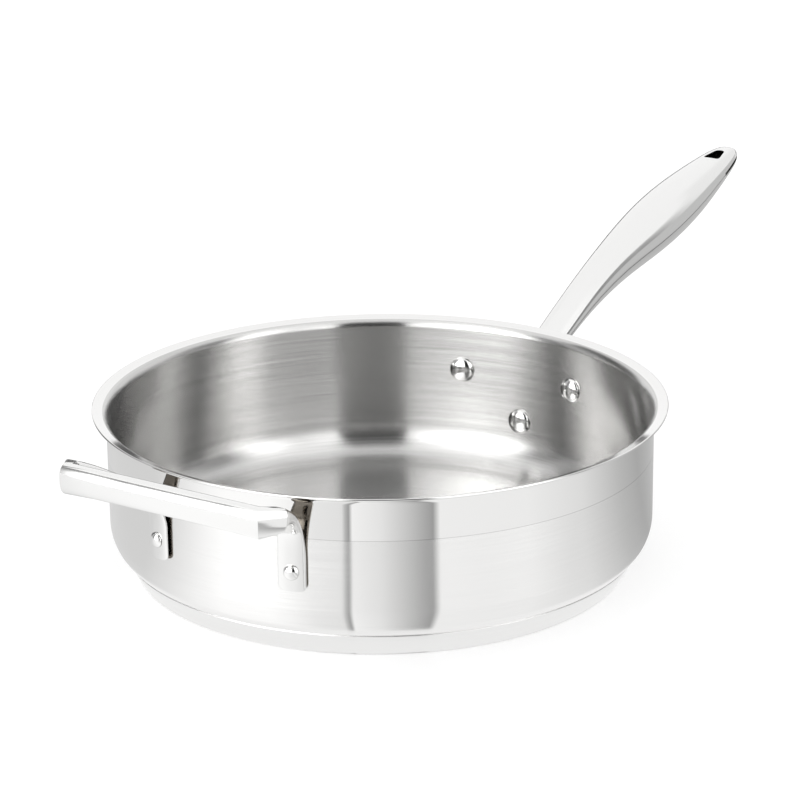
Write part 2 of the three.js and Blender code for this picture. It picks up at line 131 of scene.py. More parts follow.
def bend_ring(piece, radius, height, reach, steps):
    """Rounds the turned edge at that radius and height."""
    ring = Vector((radius, height))
    pick(piece, lambda co: (Vector((co.xy.length, co.z)) - ring).length < SAME_PLACE)
    bpy.ops.mesh.select_mode(type="EDGE")
    bpy.ops.mesh.bevel(offset=reach, segments=steps, profile=0.5, affect="EDGES")
    bpy.ops.object.mode_set(mode="OBJECT")


def make_active(piece):
    """Only this piece is selected, and operators act on it."""
    bpy.ops.object.select_all(action="DESELECT")
    piece.select_set(True)
    bpy.context.view_layer.objects.active = piece


def add_modifier(piece, kind, **settings):
    """Puts a modifier on the piece and applies it."""
    make_active(piece)
    modifier = piece.modifiers.new(kind.lower(), kind)
    for setting, value in settings.items():
        setattr(modifier, setting, value)
    bpy.ops.object.modifier_apply(modifier=modifier.name)


pan = turn_up(
    "pan_shell",
    PAN_SIDES,
    [
        (LIP_EDGE_RADIUS, LIP_EDGE_HEIGHT),
        (WALL_RADIUS, LIP_FOOT_HEIGHT),
        (WALL_RADIUS, FLOOR_UNDERSIDE),
        *[(radius, FLOOR_UNDERSIDE) for radius in FLOOR_RINGS],
    ],
)
bend_ring(pan, WALL_RADIUS, LIP_FOOT_HEIGHT, LIP_BEND_REACH, LIP_BEND_STEPS)
bend_ring(pan, WALL_RADIUS, FLOOR_UNDERSIDE, CORNER_BEND, CORNER_BEND_STEPS)
add_modifier(pan, "SOLIDIFY", thickness=WALL_SHEET, offset=-1, use_even_offset=True)
add_modifier(
    pan, "BEVEL", width=RIM_ROUND, segments=RIM_ROUND_STEPS, limit_method="ANGLE", angle_limit=SHARP_EDGE
)
bpy.ops.object.shade_smooth()
add_modifier(pan, "WEIGHTED_NORMAL", mode="FACE_AREA", weight=50)


def new_material(name, colour, metallic=1.0):
    """A material with a plain Principled shader, its node tree and the shader."""
    material = bpy.data.materials.new(name)
    material.use_nodes = True
    shader = material.node_tree.nodes["Principled BSDF"]
    shader.inputs["Base Color"].default_value = colour
    shader.inputs["Metallic"].default_value = metallic
    return material, material.node_tree, shader


def wire(tree, kind, operation=None, **values):
    """Adds a node and fills or links its sockets; A, B and C are the first, second and third one."""
    node = tree.nodes.new(kind)
    if operation:
        node.operation = operation
    for socket, value in values.items():
        place = {"A": 0, "B": 1, "C": 2}.get(socket, socket.replace("_", " "))
        target = node.inputs[place]
        if isinstance(value, bpy.types.NodeSocket):
            tree.links.new(value, target)
        else:
            target.default_value = value
    return node


def mix(tree, share, first, second, colour=False):
    """Goes from the first value or colour to the second as the share grows."""
    node = wire(tree, "ShaderNodeMix", A=share)
    node.data_type = "RGBA" if colour else "FLOAT"
    for target, value in zip(node.inputs[6:8] if colour else node.inputs[2:4], (first, second)):
        if isinstance(value, bpy.types.NodeSocket):
            tree.links.new(value, target)
        else:
            target.default_value = value
    return node.outputs[2] if colour else node.outputs[0]


def follow(tree, value, span, low, high):
    """Follows a value through its span, from low to high."""
    start, end = span
    node = wire(
        tree, "ShaderNodeMapRange", Value=value, From_Min=start, From_Max=end, To_Min=low, To_Max=high
    )
    return node.outputs[0]


# Fine scratches that run round the pan's axis, as a lathe's brush leaves them on a wall, a bend or a floor
brushing = bpy.data.node_groups.new("turned_brushing", "ShaderNodeTree")
brushing.interface.new_socket("Lines", in_out="INPUT", socket_type="NodeSocketFloat")
brushing.interface.new_socket("Sweep", in_out="INPUT", socket_type="NodeSocketFloat")
brushing.interface.new_socket("Scratch", in_out="OUTPUT", socket_type="NodeSocketFloat")
group_in = brushing.nodes.new("NodeGroupInput")
group_out = brushing.nodes.new("NodeGroupOutput")
place = wire(brushing, "ShaderNodeTexCoord")
level = wire(brushing, "ShaderNodeVectorMath", "MULTIPLY", A=place.outputs["Object"], B=(1, 1, 0))
reach = wire(brushing, "ShaderNodeVectorMath", "LENGTH", A=level.outputs[0])
bearing = wire(brushing, "ShaderNodeVectorMath", "NORMALIZE", A=level.outputs[0])
around = wire(
    brushing, "ShaderNodeVectorMath", "SCALE", A=bearing.outputs[0], Scale=group_in.outputs["Sweep"]
)
parts = wire(brushing, "ShaderNodeSeparateXYZ", A=around.outputs[0])
height = wire(brushing, "ShaderNodeSeparateXYZ", A=place.outputs["Object"])
row_out = wire(brushing, "ShaderNodeMath", "MULTIPLY", A=reach.outputs["Value"], B=group_in.outputs["Lines"])
row_up = wire(brushing, "ShaderNodeMath", "MULTIPLY", A=height.outputs["Z"], B=group_in.outputs["Lines"])
track = wire(
    brushing, "ShaderNodeCombineXYZ", A=parts.outputs["X"], B=parts.outputs["Y"], C=row_out.outputs[0]
)
scratches = wire(brushing, "ShaderNodeTexNoise", Vector=track.outputs[0], Scale=1.0, Detail=SCRATCH_DETAIL)
scratches.noise_dimensions = "4D"
brushing.links.new(row_up.outputs[0], scratches.inputs["W"])
brushing.links.new(scratches.outputs["Fac"], group_out.inputs["Scratch"])


def brush_lines(tree, lines, sweep):
    """The brushing group in a material, with its own fineness and length of scratch."""
    node = tree.nodes.new("ShaderNodeGroup")
    node.node_tree = brushing
    node.inputs["Lines"].default_value = lines
    node.inputs["Sweep"].default_value = sweep
    return node.outputs["Scratch"]


pan_steel, tree, shader = new_material("brushed_and_polished_steel", OUTSIDE_STEEL)
fine = brush_lines(tree, *FINE_BRUSH)
broad = brush_lines(tree, *BROAD_BRUSH)
place = wire(tree, "ShaderNodeTexCoord")
level = wire(tree, "ShaderNodeVectorMath", "MULTIPLY", A=place.outputs["Object"], B=(1, 1, 0))
reach = wire(tree, "ShaderNodeVectorMath", "LENGTH", A=level.outputs[0])
height = wire(tree, "ShaderNodeSeparateXYZ", A=place.outputs["Object"]).outputs["Z"]
mid_wall = WALL_RADIUS - WALL_SHEET / 2
past_wall = wire(tree, "ShaderNodeMath", "GREATER_THAN", A=reach.outputs["Value"], B=mid_wall)
under_floor = wire(tree, "ShaderNodeMath", "LESS_THAN", A=height, B=FLOOR_UNDERSIDE + WALL_SHEET / 2)
corner_out = wire(tree, "ShaderNodeMath", "SUBTRACT", A=reach.outputs["Value"], B=WALL_RADIUS - CORNER_BEND)
corner_up = wire(tree, "ShaderNodeMath", "SUBTRACT", A=height, B=FLOOR_UNDERSIDE + CORNER_BEND)
corner_spoke = wire(tree, "ShaderNodeCombineXYZ", A=corner_out.outputs[0], B=corner_up.outputs[0])
corner_low = wire(tree, "ShaderNodeVectorMath", "MINIMUM", A=corner_spoke.outputs[0], B=(1, 0, 0))
corner_span = wire(tree, "ShaderNodeVectorMath", "MAXIMUM", A=corner_low.outputs[0], B=(0, -1, 0))
from_bend = wire(tree, "ShaderNodeVectorMath", "LENGTH", A=corner_span.outputs[0])
mid_bend = CORNER_BEND - WALL_SHEET / 2
bend_skin = wire(tree, "ShaderNodeMath", "GREATER_THAN", A=from_bend.outputs["Value"], B=mid_bend)
outside = wire(tree, "ShaderNodeMath", "MAXIMUM", A=past_wall.outputs[0], B=bend_skin.outputs[0])
outside = wire(tree, "ShaderNodeMath", "MAXIMUM", A=outside.outputs[0], B=under_floor.outputs[0])
over_lip = wire(tree, "ShaderNodeMath", "SUBTRACT", A=height, B=LIP_BEND_START)
past_lip = wire(tree, "ShaderNodeMath", "SUBTRACT", A=reach.outputs["Value"], B=mid_wall)
lip_inside = wire(tree, "ShaderNodeMath", "GREATER_THAN", A=over_lip.outputs[0], B=past_lip.outputs[0])
short_of_lip = wire(tree, "ShaderNodeMath", "LESS_THAN", A=reach.outputs["Value"], B=LIP_POLISH)
lip_inside = wire(tree, "ShaderNodeMath", "MULTIPLY", A=lip_inside.outputs[0], B=short_of_lip.outputs[0])
outside = wire(tree, "ShaderNodeMath", "SUBTRACT", A=outside.outputs[0], B=lip_inside.outputs[0])
outside.use_clamp = True
outside = outside.outputs[0]
above = wire(tree, "ShaderNodeMath", "GREATER_THAN", A=height, B=POLISH_LINE)
polished = wire(tree, "ShaderNodeMath", "MULTIPLY", A=outside, B=above.outputs[0]).outputs[0]
both = wire(tree, "ShaderNodeMath", "ADD", A=fine, B=broad).outputs[0]

bend_heights = (FLOOR_UNDERSIDE + 2 * WALL_SHEET, FLOOR_UNDERSIDE + CORNER_BEND)
off_floor = follow(tree, height, bend_heights, 0, 1)
floor_satin = follow(tree, both, TWO_SCRATCH_SPAN, *FLOOR_SATIN)
wall_satin = follow(tree, both, TWO_SCRATCH_SPAN, *WALL_SATIN)
outer_satin = follow(tree, both, TWO_SCRATCH_SPAN, *OUTER_SATIN)
satin = mix(tree, outside, mix(tree, off_floor, floor_satin, wall_satin), outer_satin)
mirror = follow(tree, broad, SCRATCH_SPAN, *MIRROR_POLISH)
tree.links.new(mix(tree, polished, satin, mirror), shader.inputs["Roughness"])

# Painted shade: the inside of the pan gets the darker steel colour, the outside the full one.
steel = mix(tree, outside, SHADED_INSIDE_STEEL, OUTSIDE_STEEL, colour=True)
inner_grain = follow(tree, both, TWO_SCRATCH_SPAN, *INNER_GRAIN)
outer_grain = follow(tree, both, TWO_SCRATCH_SPAN, *OUTER_GRAIN)
grain = mix(tree, polished, mix(tree, outside, inner_grain, outer_grain), 1.0)
at_line = wire(tree, "ShaderNodeMath", "COMPARE", A=height, B=POLISH_LINE, C=HAIRLINE_HALF)
hairline = wire(tree, "ShaderNodeMath", "MULTIPLY", A=at_line.outputs[0], B=outside)
marked = wire(tree, "ShaderNodeMath", "MULTIPLY_ADD", A=hairline.outputs[0], B=-HAIRLINE_FADE, C=grain)
tint = wire(tree, "ShaderNodeVectorMath", "SCALE", A=steel, Scale=marked.outputs[0])
tree.links.new(tint.outputs[0], shader.inputs["Base Color"])
shader.inputs["Anisotropic"].default_value = GLINT_STRETCH
shader.inputs["Anisotropic Rotation"].default_value = QUARTER_TURN
round_axis = tree.nodes.new("ShaderNodeTangent")
round_axis.direction_type = "RADIAL"
round_axis.axis = "Z"
tree.links.new(round_axis.outputs[0], shader.inputs["Tangent"])
pan.data.materials.append(pan_steel)
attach(pan, "root")
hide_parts("pan_body")


# Base cap: a shallow steel dish pressed over the aluminium heat disc and up against the body's corner bend.
# Its side leans out to a thin rim; side and flat underside are brushed round to a pale satin.
CAP_RIM_RADIUS = 0.134
CAP_RIM_HEIGHT = 0.0125
CAP_FOOT_RADIUS = 0.1271
CAP_SHEET = 0.0009
CAP_BEND_REACH = 0.00147
CAP_BEND_STEPS = 8
CAP_RIM_ROUND = 0.0002
CAP_RIM_ROUND_STEPS = 2
CAP_STEEL = (0.78, 0.778, 0.772, 1)
CAP_BRUSH = (2200, 5)
CAP_SATIN = (0.28, 0.42)

cap = turn_up(
    "base_cap_dish",
    PAN_SIDES,
    [
        (CAP_RIM_RADIUS, CAP_RIM_HEIGHT),
        (CAP_FOOT_RADIUS, 0),
        *[(radius, 0) for radius in FLOOR_RINGS],
    ],
)
bend_ring(cap, CAP_FOOT_RADIUS, 0, CAP_BEND_REACH, CAP_BEND_STEPS)
add_modifier(cap, "SOLIDIFY", thickness=CAP_SHEET, offset=-1, use_even_offset=True)
add_modifier(
    cap,
    "BEVEL",
    width=CAP_RIM_ROUND,
    segments=CAP_RIM_ROUND_STEPS,
    limit_method="ANGLE",
    angle_limit=SHARP_EDGE,
)
bpy.ops.object.shade_smooth()
add_modifier(cap, "WEIGHTED_NORMAL", mode="FACE_AREA", weight=50)
cap_steel, tree, shader = new_material("satin_base_steel", CAP_STEEL)
scratch = brush_lines(tree, *CAP_BRUSH)
tree.links.new(follow(tree, scratch, SCRATCH_SPAN, *CAP_SATIN), shader.inputs["Roughness"])
cap.data.materials.append(cap_steel)
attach(cap, "root")
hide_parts("base_cap")


# Heat disc: a plain pressed disc of aluminium, closed in between the body's floor and the base cap.
# Nothing of it shows, so the solid of the frame stays and only gets the metal's own look.
ALUMINIUM = (0.72, 0.725, 0.73, 1)
CORE_BRUSH = (900, 3)
CORE_SATIN = (0.4, 0.6)

core_metal, tree, shader = new_material("pressed_aluminium", ALUMINIUM)
scratch = brush_lines(tree, *CORE_BRUSH)
tree.links.new(follow(tree, scratch, SCRATCH_SPAN, *CORE_SATIN), shader.inputs["Roughness"])
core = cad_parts["base_core"]
core.data.materials.clear()
core.data.materials.append(core_metal)


# Long handle: two pressed steel shells, welded along their side seam into a hollow grip and polished bright.
# It leaves the wall thin, swells to a broad grip and closes to a rounded tip with a hanging eye. At the tip
# the shells stand a little apart, and there and in the eye the steel is painted near black as shade.
GRIP_ROOT = Vector((0.141, 0, 0.0602))
# Each section: how far out from the root, how far up, its width and its depth
GRIP_SECTIONS = [
    (0.0110, 0.0029, 0.0187, 0.0078),
    (0.0116, 0.0032, 0.0187, 0.0078),
    (0.0250, 0.0104, 0.0196, 0.0080),
    (0.0390, 0.0170, 0.0205, 0.0086),
    (0.0540, 0.0239, 0.0210, 0.0102),
    (0.0690, 0.0300, 0.0220, 0.0125),
    (0.0840, 0.0354, 0.0237, 0.0146),
    (0.0990, 0.0400, 0.0260, 0.0166),
    (0.1140, 0.0439, 0.0290, 0.0185),
    (0.1290, 0.0475, 0.0322, 0.0202),
    (0.1440, 0.0512, 0.0342, 0.0216),
    (0.1590, 0.0550, 0.0349, 0.0222),
    (0.1740, 0.0588, 0.0342, 0.0216),
    (0.1890, 0.0625, 0.0322, 0.0201),
    (0.2040, 0.0663, 0.0290, 0.0173),
    (0.2190, 0.0699, 0.0252, 0.0142),
    (0.2304, 0.0726, 0.0216, 0.0120),
    (0.2390, 0.0744, 0.0174, 0.0102),
    (0.2442, 0.0755, 0.0128, 0.0082),
    (0.2461, 0.0759, 0.0080, 0.0056),
]
GRIP_CORNER = 0.22
SMOOTHING_ALLOWANCE = 1.018
GRIP_SMOOTHING = 3
GRIP_SHEET = 0.0014
BORE_SMOOTHING = 2
BORE_MOUTH = (0.008, 0.0013, 0.0185, 0.0077)
BORE_SECTIONS = slice(2, 15)
SEAM_SECTIONS = slice(2, 17)
SEAM_START = (-0.004, -0.0055)
SEAM_END = (0.262, 0.0792)
SEAM_SIDE = (0.06, 0.04)
SEAM_GAP = 0.0003
TIP_GAP = 0.0018
TIP_GAP_ROWS = 2
FOLD_ANGLE = math.radians(35)
HANDLE_GLOSS = (0.14, 0.2)
HAZE_SCALE = 90.0
HAZE_DETAIL = 4.0
HAZE_SPAN = (0.35, 0.65)
BRIGHT_STEEL = (0.8, 0.798, 0.792, 1)
# Near black: painted shade inside the eye and in the slit between the shells at the tip.
HOLE_SHADE_COLOUR = (0.035, 0.032, 0.029, 1)
EYE_PLACE = GRIP_ROOT + Vector((0.2295, 0, 0.0723))
EYE_LENGTH = 0.013
EYE_WIDTH = 0.0102
EYE_RISE = 12.5
EYE_ALONG = Vector((math.cos(math.radians(EYE_RISE)), 0, math.sin(math.radians(EYE_RISE))))
EYE_UP = Vector((-EYE_ALONG.z, 0, EYE_ALONG.x))
EYE_TAPER = 0.52
EYE_ROUND = 0.0023
EYE_ROUND_STEPS = 6
EYE_FOOT = -0.02
EYE_FLARE = [(0.0242, 1), (0.0016, 1.04), (0.004, 1.2)]
DARK_LENGTH = 0.52 * EYE_LENGTH
DARK_WIDTH = 0.53 * EYE_WIDTH
DARK_DEPTH = 0.005
DARK_SLIT = 0.55 * TIP_GAP


def form_bar(name, sections, corner, corner_steps=1, pressed=(), press_share=1.0):
    """A bar of changing section: a straight blank extruded section by section, then bent section by section.

    A section is its place, its width across and its height, its heading in plan and its dip, in degrees.
    The rows named as pressed get their left side flattened to that share of its roundness.
    """
    beside_row = 0.01
    left_side = 0.05
    left_edge = (0, 0.5, 0)
    bpy.ops.object.select_all(action="DESELECT")
    bpy.ops.mesh.primitive_plane_add(size=1, rotation=(0, math.pi / 2, 0))
    bar = new_piece(name)
    bpy.ops.object.mode_set(mode="EDIT")
    bpy.ops.mesh.select_all(action="SELECT")
    if corner:
        bpy.ops.mesh.bevel(offset=corner, segments=corner_steps, affect="VERTICES")
    bpy.ops.mesh.select_all(action="SELECT")
    for _ in sections[1:]:
        bpy.ops.mesh.extrude_region_move(TRANSFORM_OT_translate={"value": (1, 0, 0)})
    for row, (place, width, height, heading, dip) in enumerate(sections):
        if row in pressed:
            pick(bar, lambda co: abs(co.x - row) < beside_row and co.y > left_side)
            bpy.ops.transform.resize(value=(1, press_share, 1), center_override=left_edge)
        pick(bar, lambda co: abs(co.x - row) < beside_row)
        bpy.ops.transform.translate(value=(-row, 0, 0))
        bpy.ops.transform.resize(value=(1, width, height), center_override=(0, 0, 0))
        bpy.ops.transform.rotate(value=-math.radians(dip), orient_axis="Y", center_override=(0, 0, 0))
        bpy.ops.transform.rotate(value=-math.radians(heading), orient_axis="Z", center_override=(0, 0, 0))
        bpy.ops.transform.translate(value=place)
    bpy.ops.mesh.select_all(action="SELECT")
    bpy.ops.mesh.normals_make_consistent(inside=False)
    bpy.ops.object.mode_set(mode="OBJECT")
    return bar


def grip_line(rows, inset=0.0):
    """The long handle's sections on its rising line, each square to it and shrunk all round by the inset."""
    places = [GRIP_ROOT + Vector((out, 0, up)) for out, up, _, _ in rows]
    sections = []
    for row, (_, _, width, depth) in enumerate(rows):
        run = places[min(row + 1, len(rows) - 1)] - places[max(row - 1, 0)]
        dip = -math.degrees(math.atan2(run.z, run.x))
        full_width = SMOOTHING_ALLOWANCE * width - 2 * inset
        full_depth = SMOOTHING_ALLOWANCE * depth - 2 * inset
        sections.append((places[row], full_width, full_depth, 0, dip))
    return sections


def cut_with(piece, tool, operation="DIFFERENCE"):
    """Cuts the piece with the tool, crosses or joins the two, and takes the tool away."""
    add_modifier(piece, "BOOLEAN", object=tool, operation=operation, solver="MANIFOLD")
    bpy.data.objects.remove(tool)


# Slow clouds in the gloss of a polished surface
polish = bpy.data.node_groups.new("polish_haze", "ShaderNodeTree")
polish.interface.new_socket("Low", in_out="INPUT", socket_type="NodeSocketFloat")
polish.interface.new_socket("High", in_out="INPUT", socket_type="NodeSocketFloat")
polish.interface.new_socket("Roughness", in_out="OUTPUT", socket_type="NodeSocketFloat")
group_in = polish.nodes.new("NodeGroupInput")
group_out = polish.nodes.new("NodeGroupOutput")
place = wire(polish, "ShaderNodeTexCoord")
clouds = wire(
    polish, "ShaderNodeTexNoise", Vector=place.outputs["Object"], Scale=HAZE_SCALE, Detail=HAZE_DETAIL
)
haze = follow(polish, clouds.outputs["Fac"], HAZE_SPAN, group_in.outputs["Low"], group_in.outputs["High"])
polish.links.new(haze, group_out.inputs["Roughness"])


def polished_steel(name, colour, low, high):
    """Bright steel whose gloss drifts between two roughnesses."""
    material, tree, shader = new_material(name, colour)
    node = tree.nodes.new("ShaderNodeGroup")
    node.node_tree = polish
    node.inputs["Low"].default_value = low
    node.inputs["High"].default_value = high
    tree.links.new(node.outputs["Roughness"], shader.inputs["Roughness"])
    return material


handle_steel = polished_steel("polished_handle_steel", BRIGHT_STEEL, *HANDLE_GLOSS)
tree = handle_steel.node_tree
shader = tree.nodes["Principled BSDF"]
place = wire(tree, "ShaderNodeTexCoord")
from_eye = wire(tree, "ShaderNodeVectorMath", "SUBTRACT", A=place.outputs["Object"], B=EYE_PLACE)
along = wire(tree, "ShaderNodeVectorMath", "DOT_PRODUCT", A=from_eye.outputs[0], B=EYE_ALONG).outputs["Value"]
above = wire(tree, "ShaderNodeVectorMath", "DOT_PRODUCT", A=from_eye.outputs[0], B=EYE_UP).outputs["Value"]
across = wire(tree, "ShaderNodeSeparateXYZ", A=from_eye.outputs[0]).outputs["Y"]
# Painted shade: the eye's walls and the slit between the shells at the tip go near black.
in_length = wire(tree, "ShaderNodeMath", "COMPARE", A=along, B=0, C=DARK_LENGTH)
half_width = follow(tree, along, (-EYE_LENGTH / 2, EYE_LENGTH / 2), DARK_WIDTH, DARK_WIDTH * EYE_TAPER)
in_width = wire(tree, "ShaderNodeMath", "COMPARE", A=across, B=0, C=half_width)
in_depth = wire(tree, "ShaderNodeMath", "COMPARE", A=above, B=0, C=DARK_DEPTH)
in_eye = wire(tree, "ShaderNodeMath", "MULTIPLY", A=in_length.outputs[0], B=in_width.outputs[0])
in_eye = wire(tree, "ShaderNodeMath", "MULTIPLY", A=in_eye.outputs[0], B=in_depth.outputs[0])
in_slit = wire(tree, "ShaderNodeMath", "COMPARE", A=above, B=0, C=DARK_SLIT)
at_tip = wire(tree, "ShaderNodeMath", "GREATER_THAN", A=along, B=-EYE_LENGTH)
in_slit = wire(tree, "ShaderNodeMath", "MULTIPLY", A=in_slit.outputs[0], B=at_tip.outputs[0])
painted_hole_shade = wire(tree, "ShaderNodeMath", "MAXIMUM", A=in_eye.outputs[0], B=in_slit.outputs[0])
steel_with_painted_shade = mix(tree, painted_hole_shade.outputs[0], BRIGHT_STEEL, HOLE_SHADE_COLOUR, colour=True)
tree.links.new(steel_with_painted_shade, shader.inputs["Base Color"])

grip = form_bar("long_handle", grip_line(GRIP_SECTIONS), GRIP_CORNER)
add_modifier(grip, "SUBSURF", levels=GRIP_SMOOTHING)
bore_line = grip_line([BORE_MOUTH] + GRIP_SECTIONS[BORE_SECTIONS], GRIP_SHEET)
bore = form_bar("handle_bore", bore_line, GRIP_CORNER)
add_modifier(bore, "SUBSURF", levels=BORE_SMOOTHING)
cut_with(grip, bore)

bpy.ops.object.select_all(action="DESELECT")
bpy.ops.mesh.primitive_plane_add(size=1)
eye = new_piece("eye_punch")
bpy.ops.object.mode_set(mode="EDIT")
bpy.ops.mesh.select_all(action="SELECT")
bpy.ops.transform.resize(value=(EYE_LENGTH, EYE_WIDTH, 1), center_override=(0, 0, 0))
pick(eye, lambda co: co.x > 0)
bpy.ops.transform.resize(value=(1, EYE_TAPER, 1), center_override=(0, 0, 0))
bpy.ops.mesh.select_all(action="SELECT")
bpy.ops.mesh.bevel(offset=EYE_ROUND, segments=EYE_ROUND_STEPS, affect="VERTICES")
bpy.ops.mesh.select_all(action="SELECT")
bpy.ops.transform.translate(value=(0, 0, EYE_FOOT))
for rise, spread in EYE_FLARE:
    bpy.ops.mesh.extrude_region_move(TRANSFORM_OT_translate={"value": (0, 0, rise)})
    bpy.ops.transform.resize(value=(spread, spread, 1), center_override=(0, 0, 0))
bpy.ops.mesh.select_all(action="SELECT")
bpy.ops.mesh.normals_make_consistent(inside=False)
bpy.ops.transform.rotate(value=math.radians(EYE_RISE), orient_axis="Y", center_override=(0, 0, 0))
bpy.ops.transform.translate(value=EYE_PLACE)
bpy.ops.object.mode_set(mode="OBJECT")
cut_with(grip, eye)

halves = {}
seam_rows = [SEAM_START] + [section[:2] for section in GRIP_SECTIONS[SEAM_SECTIONS]] + [SEAM_END]
seam_line = grip_line([row + SEAM_SIDE for row in seam_rows])
for side, way in (("upper", 1), ("lower", -1)):
    make_active(grip)
    bpy.ops.object.duplicate()
    halves[side] = new_piece(f"long_handle_{side}_half")
    keep = []
    for row, (place, width, depth, heading, dip) in enumerate(seam_line):
        gap = TIP_GAP if row >= len(seam_line) - TIP_GAP_ROWS else SEAM_GAP
        lean = math.radians(dip)
        off_seam = Vector((math.sin(lean), 0, math.cos(lean))) * way * (depth + gap) / 2
        keep.append((place + off_seam, width, depth, heading, dip))
    cut_with(halves[side], form_bar("seam_side", keep, 0), "INTERSECT")
bpy.data.objects.remove(grip)

for side, half in halves.items():
    half.data.materials.clear()
    half.data.materials.append(handle_steel)
    make_active(half)
    bpy.ops.object.shade_smooth_by_angle(angle=FOLD_ANGLE)
    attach(half, "root")
    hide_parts(f"long_handle_{side}_shell")


# Handle bracket: a three-lobed steel plate bent to the wall, with a flared neck that carries the long handle.
# The neck ends square at the grip's root, and three rivets hold the plate to the pan.
PLATE_INNER_RADIUS = 0.1413
PLATE_OUTER_RADIUS = 0.1438
PLATE_BAND = (0.02, 0.08)
LOBE_RADIUS = 0.0105
LOBE_SIDES = 40
LOBE_OUT = 0.142
LOBE_DEPTH = 0.04
UPPER_LOBE = 0.0602
UPPER_LOBE_SIDE = 0.0353
LOWER_LOBE = 0.0345
NECK_START = 0.1424
NECK_LENGTH = 0.0093
NECK_LEVEL = 0.0627
NECK_DROP = 0.0057
NECK_SIZE = GRIP_SECTIONS[0][2:]
NECK_FLARE = (0.0133, 0.0162)
NECK_RISE = 28
NECK_SHARES = (0, 0.15, 0.3, 0.5, 0.7, 0.85, 1)
BRACKET_GLOSS = (0.1, 0.16)


def add_lobe(across, height):
    """A round peg through the wall, as wide as one of the plate's lobes."""
    bpy.ops.mesh.primitive_cylinder_add(
        vertices=LOBE_SIDES,
        radius=LOBE_RADIUS,
        depth=LOBE_DEPTH,
        location=(LOBE_OUT, across, height),
        rotation=(0, math.pi / 2, 0),
    )


bpy.ops.object.select_all(action="DESELECT")
add_lobe(0, LOWER_LOBE)
blank = new_piece("bracket_blank")
bpy.ops.object.mode_set(mode="EDIT")
for side in (-1, 1):
    add_lobe(side * UPPER_LOBE_SIDE, UPPER_LOBE)
bpy.ops.mesh.select_all(action="SELECT")
bpy.ops.mesh.convex_hull()
bpy.ops.object.mode_set(mode="OBJECT")
plate_foot, plate_top = PLATE_BAND
bracket = turn_up(
    "handle_bracket",
    PAN_SIDES,
    [
        (PLATE_INNER_RADIUS, plate_foot),
        (PLATE_OUTER_RADIUS, plate_foot),
        (PLATE_OUTER_RADIUS, plate_top),
        (PLATE_INNER_RADIUS, plate_top),
        (PLATE_INNER_RADIUS, plate_foot),
    ],
)
cut_with(bracket, blank, "INTERSECT")
neck_sections = []
for share in NECK_SHARES:
    flare = (1 - share) ** 2
    place = Vector((NECK_START + NECK_LENGTH * share, 0, NECK_LEVEL - NECK_DROP * flare))
    width, height = [size + more * flare for size, more in zip(NECK_SIZE, NECK_FLARE)]
    neck_sections.append((place, width, height, 0, -NECK_RISE * share))
neck = form_bar("bracket_neck", neck_sections, GRIP_CORNER)
add_modifier(neck, "SUBSURF", levels=GRIP_SMOOTHING)
cut_with(bracket, neck, "UNION")
bracket_steel = polished_steel("polished_bracket_steel", BRIGHT_STEEL, *BRACKET_GLOSS)
bracket.data.materials.clear()
bracket.data.materials.append(bracket_steel)
make_active(bracket)
bpy.ops.object.shade_smooth_by_angle(angle=FOLD_ANGLE)
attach(bracket, "root")
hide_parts("long_handle_bracket")


# Rivets: turned steel pins with a domed head inside the pan, set over a smaller dome outside and polished.
# Three large ones hold the long handle's bracket and two hold the helper handle's lugs.
RIVET_SIDES = 48
SHANK_RADIUS = 0.0025
INNER_SEAT = 0.1396
GRIP_HEAD = (0.0071, 0.0034)
GRIP_TAIL = (0.00475, 0.0018)
HELPER_HEAD = (0.00525, 0.0024)
HELPER_TAIL = (0.004, 0.0024)
DOME_TURNS = (4, 15, 27, 39, 51, 63, 75, 84, 90)
UPPER_RIVET_BEARING = 14.5
LUG_SEAT = 0.1442
LUG_RIVET_BEARING = 16.27
LUG_RIVET_HEIGHT = 0.048
RIVET_GLOSS = (0.09, 0.13)


def dome(head, seat, way):
    """Rings of a domed head from near its crown down to its seat."""
    radius, height = head
    turns = [math.radians(angle) for angle in DOME_TURNS]
    return [(radius * math.sin(turn), seat + way * height * math.cos(turn)) for turn in turns]


def make_rivet(name, head, tail, tail_seat):
    """A rivet that stands along Z, its domed head toward the pan's axis."""
    rings = dome(head, INNER_SEAT, -1)
    rings += [(SHANK_RADIUS, INNER_SEAT), (SHANK_RADIUS, tail_seat)]
    rings += dome(tail, tail_seat, 1)[::-1]
    rivet = turn_up(name, RIVET_SIDES, rings, closed=True)
    bpy.ops.object.shade_smooth_by_angle(angle=SHARP_EDGE)
    return rivet


def set_rivet(rivet, name, bearing, height, node):
    """A copy of the rivet, laid level at its bearing and height."""
    make_active(rivet)
    bpy.ops.object.duplicate()
    copy = bpy.context.object
    copy.rotation_euler = (0, math.pi / 2, math.radians(bearing))
    copy.location = (0, 0, height)
    new_piece(name)
    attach(copy, "root")
    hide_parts(node)


